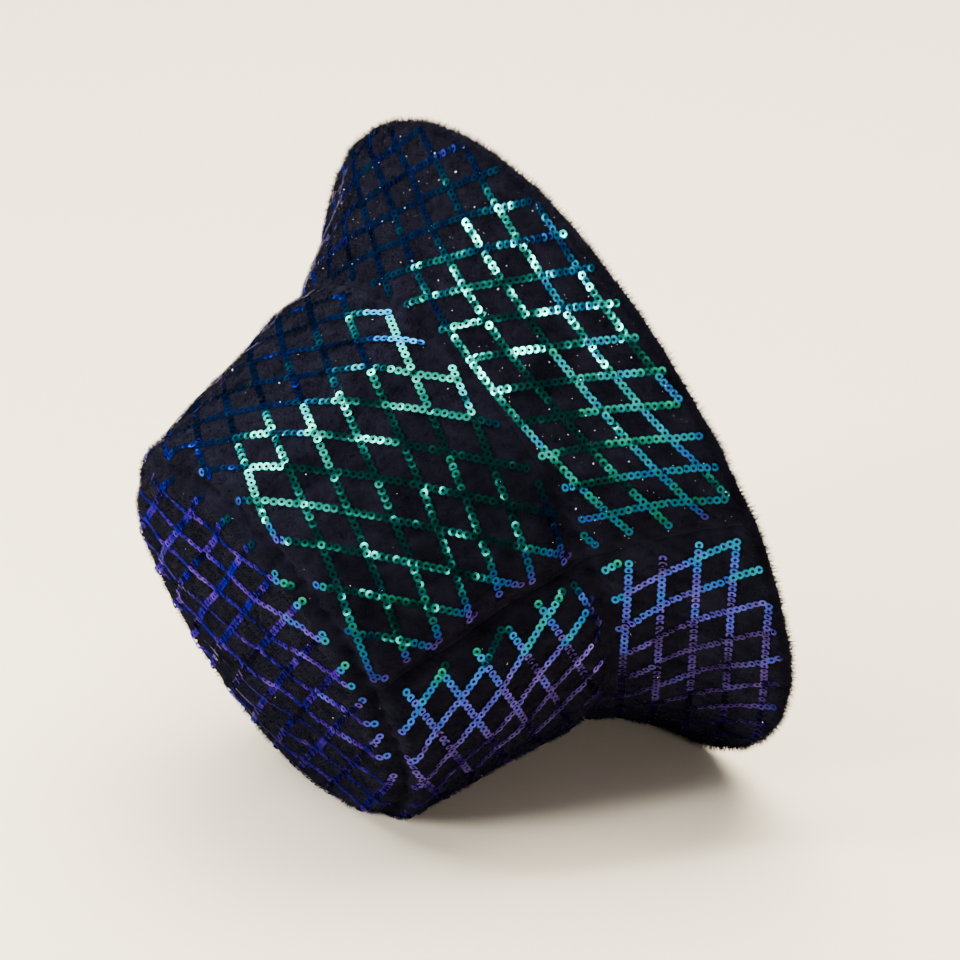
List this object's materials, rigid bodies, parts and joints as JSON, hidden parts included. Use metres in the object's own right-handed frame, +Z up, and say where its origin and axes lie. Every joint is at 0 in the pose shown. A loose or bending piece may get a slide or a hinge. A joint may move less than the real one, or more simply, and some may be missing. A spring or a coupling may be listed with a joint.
{
  "type": "sequinned bucket hat",
  "caption": "Soft plush bucket hat covered in a diamond net of iridescent ring sequins, lined, with a sweatband and a flared brim, lying on its side.",
  "frame": {"origin": "middle of the hat's bounding box at the level surface that it lies on", "axes": "+Z up from the surface. The hat lies on its side with its mirror plane in XZ: +X is the level direction from the crown tip to the head opening, and the hat's own axis rises about 24 degrees towards the opening. +Y runs across the hat from its left side seam (-Y) to its right side seam."},
  "size_m": [0.2001, 0.2658, 0.2442],
  "materials": {
    "plush": "short dark pile",
    "sequins": "iridescent mirror film",
    "glitter": "silver specks",
    "stiffener": "stiff nonwoven",
    "under_cloth": "plain velour",
    "tape": "twill tape",
    "lining": "satin",
    "sweatband": "ribbed twill",
    "label": "woven ribbon, blank",
    "thread": "sewing thread"
  },
  "bodies": {
    "hat": {"crown_tip": "plush", "side_band_front": "plush", "side_band_back": "plush", "brim_top_front": "plush", "brim_top_back": "plush", "brim_stiffener_front": "stiffener", "brim_stiffener_back": "stiffener", "brim_under_front": "under_cloth", "brim_under_back": "under_cloth", "lining_tip": "lining", "lining_front": "lining", "lining_back": "lining", "sweatband": "sweatband", "tip_seam_tape": "tape", "brim_seam_tape": "tape", "side_seam_tape_left": "tape", "side_seam_tape_right": "tape"},
    "label": {"care_label": "label"}
  },
  "joints": [
    {"name": "label_flap", "type": "hinge", "parent": "hat", "child": "label", "pos_m": [0.014, 0, 0.0161], "axis": [0, 1, 0], "range_deg": [0, 160]}
  ]
}
